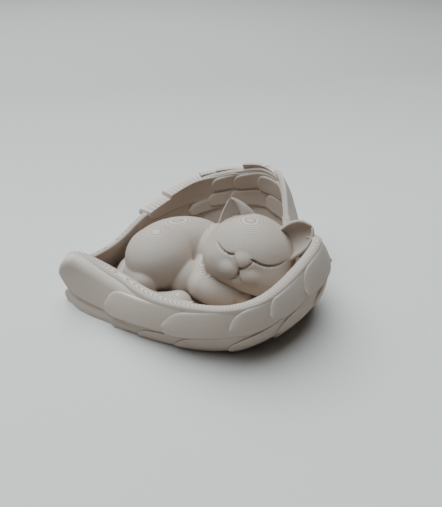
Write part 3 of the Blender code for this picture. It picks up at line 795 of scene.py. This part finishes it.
def printed_plastic():
    """Matt warm off-white plastic with layer lines, faint streaks, painted highlights on feather edges and
    painted shade under layer and feather edges.
    """
    if "printed_plastic_finish" in bpy.data.materials:
        return bpy.data.materials["printed_plastic_finish"]
    finish = bpy.context.scene.kitten_finish
    material = bpy.data.materials.new("printed_plastic_finish")
    material.use_nodes = True
    tree = material.node_tree
    shader = tree.nodes["Principled BSDF"]
    shader.inputs["Specular IOR Level"].default_value = 0.35
    tint = tree.nodes.new("ShaderNodeGroup")
    tint.node_tree = tint_group()
    colours = {"Plastic": finish.colour, "Painted Highlight": finish.painted_highlight_colour, "Streak": finish.streak_colour,
               "Step": finish.painted_shade_colour}
    for name, colour in colours.items():
        tint.inputs[name].default_value = colour
    tree.links.new(tint.outputs["Colour"], shader.inputs["Base Color"])
    layers = tree.nodes.new("ShaderNodeGroup")
    layers.node_tree = layer_group()
    layers.inputs["Layer Height"].default_value = finish.layer_height
    layers.inputs["Bead"].default_value = finish.layer_bead
    layers.inputs["Step"].default_value = finish.layer_step
    # Painted shade under the layers' edges, scaled by its strength
    shade = maths(tree, "MULTIPLY", layers.outputs["Painted Shade Mask"], finish.painted_shade_share)
    tree.links.new(shade, tint.inputs["Painted Shade Amount"])
    bump = tree.nodes.new("ShaderNodeBump")
    bump.inputs["Strength"].default_value = 1.0
    bump.inputs["Distance"].default_value = finish.layer_height
    tree.links.new(layers.outputs["Relief"], bump.inputs["Height"])
    tree.links.new(bump.outputs["Normal"], shader.inputs["Normal"])
    roughness = maths(tree, "ADD", maths(tree, "MULTIPLY", tint.outputs["Streaks"], 0.12), 0.56)
    tree.links.new(roughness, shader.inputs["Roughness"])
    return material


class KITTEN_OT_near_wing(bpy.types.Operator):
    """Wing towards the viewer: a thick-tipped wall with two rows of feathers"""
    bl_idname = "kitten.near_wing"
    bl_label = "Near wing"

    def execute(self, context):
        build_wing(context.scene.kitten_sizes, -1, "near_wing")
        return {"FINISHED"}


class KITTEN_OT_far_wing(bpy.types.Operator):
    """Wing behind the kitten, with feather tips above its rim and scallops inside"""
    bl_idname = "kitten.far_wing"
    bl_label = "Far wing"

    def execute(self, context):
        build_wing(context.scene.kitten_sizes, 1, "far_wing")
        return {"FINISHED"}


def build_wing(sizes, side, name):
    """Wall, tip blade, upper and lower feathers and inner scallops of one wing."""
    proud, wall, edge = (size * 1000 for size in (sizes.feather_proud, sizes.wing_wall, sizes.feather_edge))
    scallop_proud = sizes.scallop_proud * 1000
    near = side < 0
    skins = [wall_skin(side, wall, NEAR_WALL_START if near else FAR_TIP_START, proud * 0.5 if near else 0.0)]
    if near:
        skins.append(feather_skin(side, NEAR_TIP_BLADE, proud, wall * NEAR_WALLS[0], BLADE_EDGE, wall,
                                  top_edge=BLADE_TOP_EDGE, back_edge=BLADE_BACK_EDGE))
        for shape in NEAR_UPPER_FEATHERS:
            skins.append(feather_skin(side, shape, proud, wall * 0.4, edge, wall,
                                      fade=0.65, tilt=sizes.feather_tilt))
    else:
        for i, shape in enumerate(FAR_UPPER_FEATHERS):
            through = i < THROUGH_FEATHERS
            front = proud * CLOSE_SHARE if i == CLOSE_FEATHER else proud
            back = wall + 0.5 if through else wall * 0.4
            skins.append(feather_skin(side, shape, front, back, edge, wall,
                                      back_edge=0.5 if through else 0.2))
    for shape in LOWER_FEATHERS:
        if near or shape[0] > FAR_TIP_START:
            skins.append(feather_skin(side, shape, proud * LOWER_SHARE, wall * 0.4, edge, wall, fade=0.8))
    for shape in INNER_SCALLOPS[:NEAR_SCALLOPS] if near else INNER_SCALLOPS:
        skins.append(feather_skin(side, shape, scallop_proud, wall * 0.5, SCALLOP_EDGE, wall, inner=True))
    finish_piece(make_piece(name, skins), sharp=True)


class KITTEN_OT_floor(bpy.types.Operator):
    """Flat floor between the two wings, under the kitten"""
    bl_idname = "kitten.nest_floor"
    bl_label = "Nest floor"

    def execute(self, context):
        skins = [floor_skin(context.scene.kitten_sizes.wing_wall * 1000)]
        finish_piece(make_piece("nest_floor", skins), sharp=True)
        return {"FINISHED"}


class KITTEN_OT_body(bpy.types.Operator):
    """Curled trunk, haunch, legs, paws and tail, joined into one skin"""
    bl_idname = "kitten.body"
    bl_label = "Kitten body"

    def execute(self, context):
        skins = [ellipsoid_skin(*form) for form in BODY_FORMS]
        skins += [limb_skin(UPPER_ARM), limb_skin(FOREARM), ellipsoid_skin(*BELLY)]
        skins += [limb_skin(TUCKED_LEG), limb_skin(HIND_PAW), limb_skin(TAIL)]
        piece = make_piece("kitten_body", skins)
        finish_piece(fused(piece, BODY_GRAIN, BODY_ROUNDS))
        return {"FINISHED"}


class KITTEN_OT_head(bpy.types.Operator):
    """Head with closed eyes, nose, muzzle and two cupped ears"""
    bl_idname = "kitten.head"
    bl_label = "Kitten head"

    def execute(self, context):
        sizes = context.scene.kitten_sizes
        skins = [head_skin(sizes.eye_depth * 1000)]
        skins += [ear_skin(*ear, sizes.ear_wall * 1000) for ear in EARS]
        finish_piece(make_piece("kitten_head", skins))
        return {"FINISHED"}


def floor_finish(stage):
    """Matt floor whose colour passes to a darker one from BACK_START to BACK_END behind the nest: painted
    shade where the lamp's light falls off.
    """
    material = bpy.data.materials.new("pale_floor")
    material.use_nodes = True
    tree = material.node_tree
    shader = tree.nodes["Principled BSDF"]
    shader.inputs["Roughness"].default_value = 0.7
    shader.inputs["Specular IOR Level"].default_value = 0.2
    place = tree.nodes.new("ShaderNodeTexCoord")
    parts = tree.nodes.new("ShaderNodeSeparateXYZ")
    sweep = tree.nodes.new("ShaderNodeMapRange")
    sweep.inputs["From Min"].default_value = BACK_START
    sweep.inputs["From Max"].default_value = BACK_END
    mix = tree.nodes.new("ShaderNodeMix")
    mix.data_type = "RGBA"
    mix.inputs["A"].default_value = stage.floor_colour
    mix.inputs["B"].default_value = stage.painted_shade_behind
    tree.links.new(place.outputs["Object"], parts.inputs[0])
    tree.links.new(parts.outputs["Y"], sweep.inputs["Value"])
    tree.links.new(sweep.outputs["Result"], mix.inputs["Factor"])
    tree.links.new(mix.outputs["Result"], shader.inputs["Base Color"])
    return material


def aimed(data, place, target):
    """A lamp or camera at a place in metres, turned towards a target."""
    thing = bpy.data.objects.new(data.name, data)
    thing.location = place
    thing.rotation_euler = (Vector(target) - thing.location).to_track_quat("-Z", "Y").to_euler()
    bpy.context.scene.collection.objects.link(thing)
    return thing


class KITTEN_OT_stage(bpy.types.Operator):
    """Pale floor, soft lamp, room light and the camera"""
    bl_idname = "kitten.stage"
    bl_label = "Stage"

    def execute(self, context):
        stage = context.scene.kitten_stage
        mesh = bpy.data.meshes.new("pale_floor")
        corners = [(x * STAGE_REACH, y * STAGE_REACH, 0) for x, y in ((-1, -1), (1, -1), (1, 1), (-1, 1))]
        mesh.from_pydata(corners, [], [(0, 1, 2, 3)])
        mesh.materials.append(floor_finish(stage))
        floor = bpy.data.objects.new("pale_floor", mesh)
        context.scene.collection.objects.link(floor)
        lamp = bpy.data.lights.new("overhead_lamp", "AREA")
        lamp.shape = "SQUARE"
        lamp.size = LAMP_SIZE
        lamp.energy = stage.lamp_power
        lamp.color = LAMP_COLOUR
        aimed(lamp, LAMP_PLACE, (0, 0, 0))
        world = bpy.data.worlds.new("studio")
        world.use_nodes = True
        back = world.node_tree.nodes["Background"]
        back.inputs["Color"].default_value = ROOM_COLOUR
        back.inputs["Strength"].default_value = stage.world_strength
        context.scene.world = world
        camera = bpy.data.cameras.new("camera")
        camera.lens = CAMERA_LENS
        camera.sensor_width = 36
        camera.dof.use_dof = False
        camera.clip_start, camera.clip_end = 0.005, 20
        place, target = ((np.array(point) + SHIFT) / 1000 for point in (CAMERA_PLACE, CAMERA_AIM))
        context.scene.camera = aimed(camera, place, target)
        return {"FINISHED"}


class KITTEN_PT_panel(bpy.types.Panel):
    bl_label = "Sleeping kitten"
    bl_idname = "KITTEN_PT_panel"
    bl_space_type = "VIEW_3D"
    bl_region_type = "UI"
    bl_category = "Kitten"

    def draw(self, context):
        for group in (context.scene.kitten_sizes, context.scene.kitten_finish, context.scene.kitten_stage):
            box = self.layout.box()
            for name in group.bl_rna.properties.keys():
                if name not in {"rna_type", "name"}:
                    box.prop(group, name)
        for operator in OPERATORS:
            self.layout.operator(operator.bl_idname)


OPERATORS = (KITTEN_OT_near_wing, KITTEN_OT_far_wing, KITTEN_OT_floor, KITTEN_OT_body, KITTEN_OT_head,
             KITTEN_OT_stage)
CLASSES = (KittenSizes, PlasticFinish, StudioStage, *OPERATORS, KITTEN_PT_panel)


def register():
    for kind in CLASSES:
        bpy.utils.register_class(kind)
    bpy.types.Scene.kitten_sizes = PointerProperty(type=KittenSizes)
    bpy.types.Scene.kitten_finish = PointerProperty(type=PlasticFinish)
    bpy.types.Scene.kitten_stage = PointerProperty(type=StudioStage)


def unregister():
    del bpy.types.Scene.kitten_stage
    del bpy.types.Scene.kitten_finish
    del bpy.types.Scene.kitten_sizes
    for kind in reversed(CLASSES):
        bpy.utils.unregister_class(kind)


def main():
    register()
    bpy.ops.kitten.near_wing()
    bpy.ops.kitten.far_wing()
    bpy.ops.kitten.nest_floor()
    bpy.ops.kitten.body()
    bpy.ops.kitten.head()
    bpy.ops.kitten.stage()


if __name__ == "__main__":
    main()
